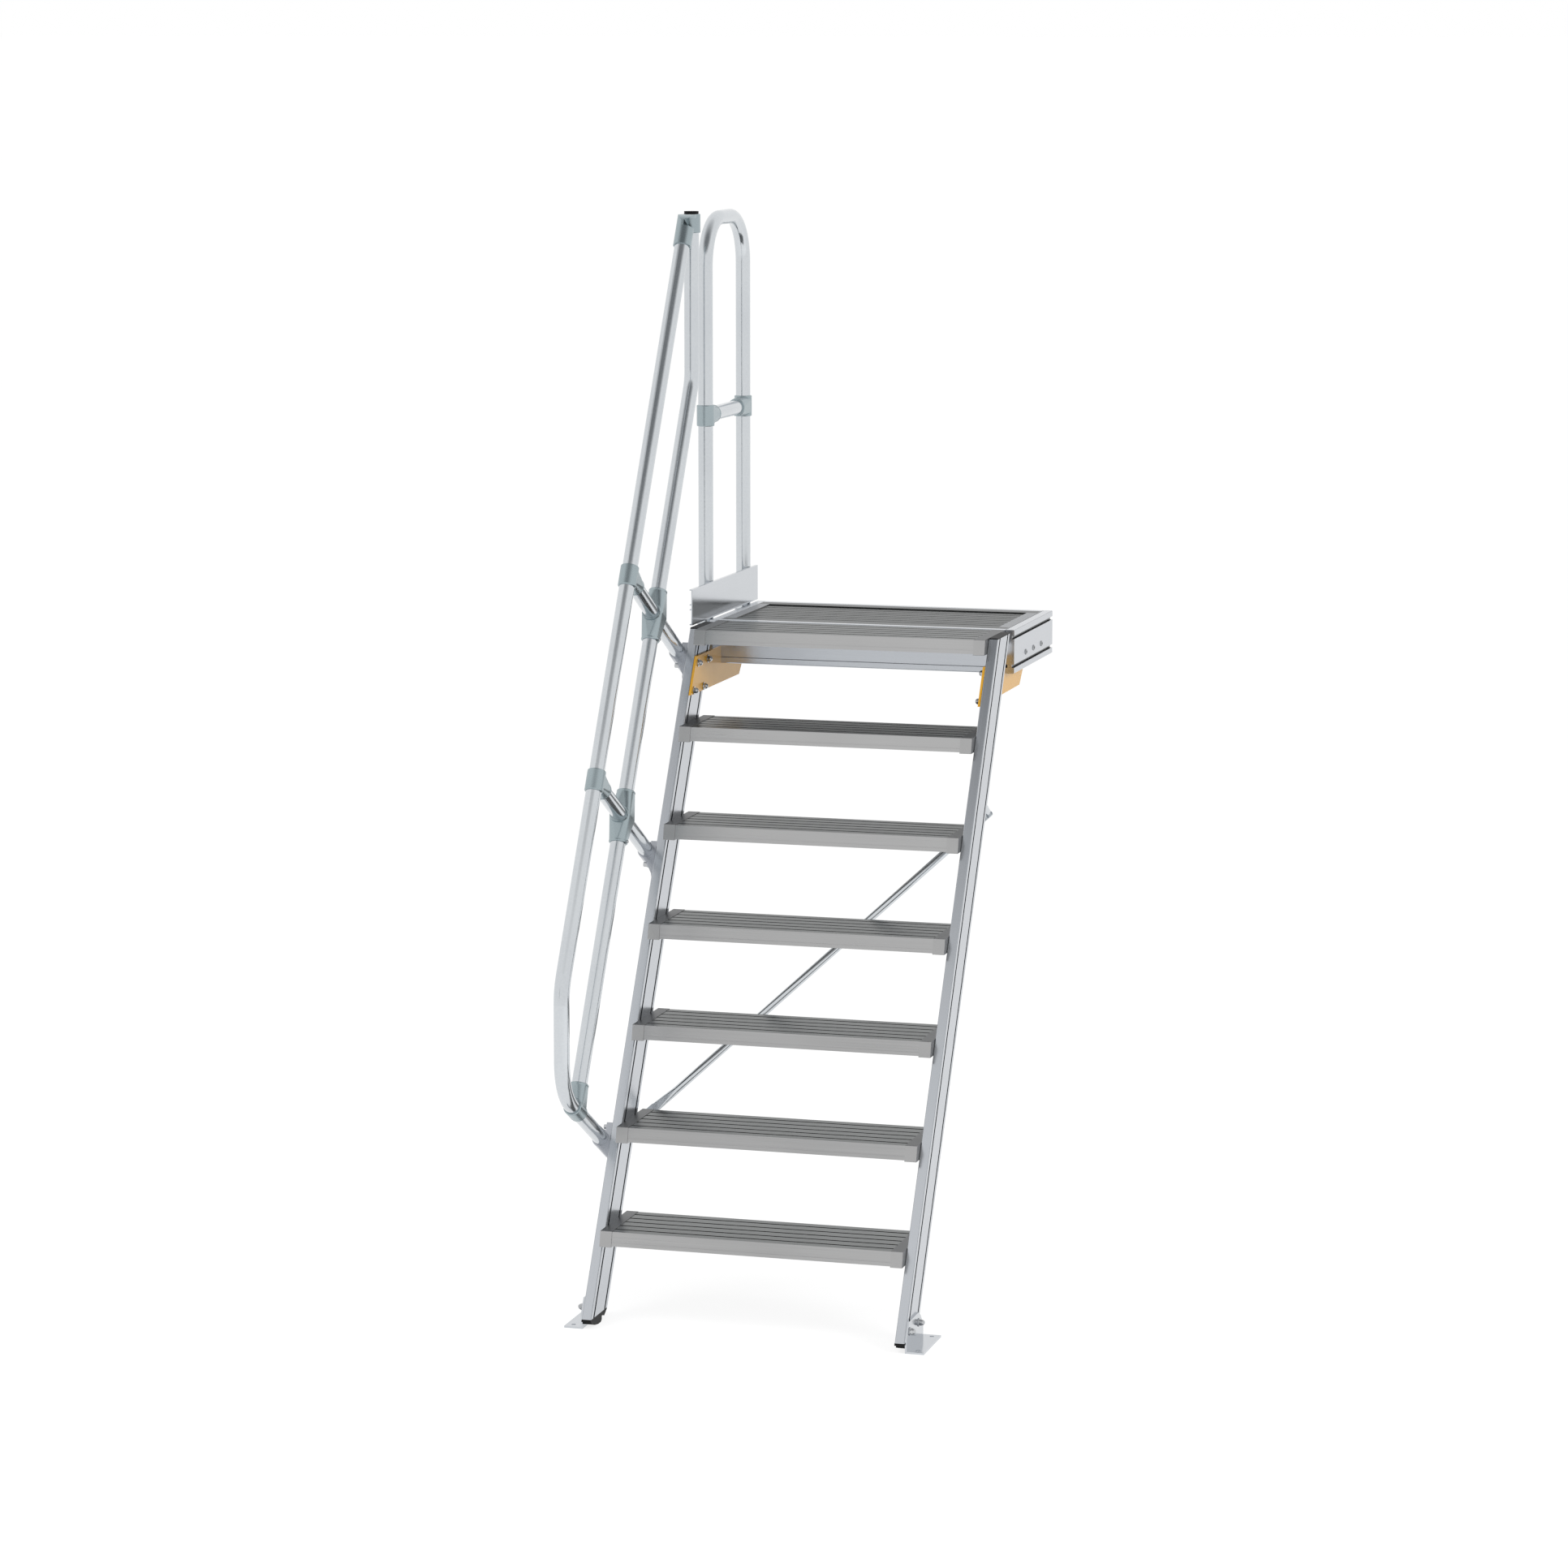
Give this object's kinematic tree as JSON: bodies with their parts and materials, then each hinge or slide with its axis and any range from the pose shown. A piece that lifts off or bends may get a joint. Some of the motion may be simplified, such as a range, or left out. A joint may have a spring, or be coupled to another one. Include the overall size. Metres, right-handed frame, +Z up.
{
  "type": "platform stair",
  "caption": "Steep aluminium platform stair with ribbed treads, a one-sided round-tube handrail and a guard hoop beside its platform.",
  "frame": {"origin": "middle of the rear cross beam's wall face, at mid-width of the stair", "axes": "+X to the right as seen when climbing, +Y from the foot towards the wall, +Z up"},
  "size_m": [0.9485, 1.6775, 2.7806],
  "materials": {
    "aluminium_profile": "satin drawn profile, clear anodised",
    "tread_aluminium": "ribbed mill-finish extrusion, duller and darker than the profiles",
    "tread_cap": "smooth moulded cap in the treads' grey",
    "rail_tube": "bright drawn round tube with sharp reflections",
    "cast_fitting": "fine-grained grey-green casting",
    "sheet_aluminium": "smooth bright sheet",
    "ochre_plate": "ochre yellow coating, glossy",
    "black_plastic": "black moulded plastic",
    "stainless_fastener": "bright stainless steel"
  },
  "bodies": {
    "root": {"left_stringer": "aluminium_profile", "right_stringer": "aluminium_profile", "stringer_feet": "black_plastic", "stringer_top_caps": "black_plastic", "tread_end_caps": "tread_cap", "left_side_beam": "aluminium_profile", "right_side_beam": "aluminium_profile", "side_beam_end_caps": "aluminium_profile", "front_cross_beam": "aluminium_profile", "rear_cross_beam": "aluminium_profile", "left_joint_plate": "ochre_plate", "right_joint_plate": "ochre_plate", "joint_plate_nuts": "stainless_fastener", "deck_panel": "tread_aluminium", "deck_end_caps": "tread_cap", "toe_board": "sheet_aluminium", "left_floor_bracket": "sheet_aluminium", "right_floor_bracket": "sheet_aluminium", "floor_bracket_nuts": "stainless_fastener", "top_rail_tube": "rail_tube", "knee_rail_tube": "rail_tube", "upper_post": "rail_tube", "middle_post": "rail_tube", "tee_fittings": "cast_fitting", "cross_fittings": "cast_fitting", "lower_joint_fitting": "cast_fitting", "top_elbow_fitting": "cast_fitting", "upright_plug": "black_plastic", "stringer_sockets": "cast_fitting", "stringer_socket_bolts": "stainless_fastener", "guard_hoop_tube": "rail_tube", "guard_hoop_bar": "rail_tube", "guard_hoop_fittings": "cast_fitting", "guard_hoop_sockets": "cast_fitting", "guard_hoop_socket_bolts": "stainless_fastener", "diagonal_brace": "rail_tube", "diagonal_brace_spacers": "rail_tube", "diagonal_brace_screws": "stainless_fastener", "platform_front_tread": "tread_aluminium", "tread_1": "tread_aluminium", "tread_2": "tread_aluminium", "tread_3": "tread_aluminium", "tread_4": "tread_aluminium", "tread_5": "tread_aluminium", "tread_6": "tread_aluminium"}
  },
  "joints": []
}
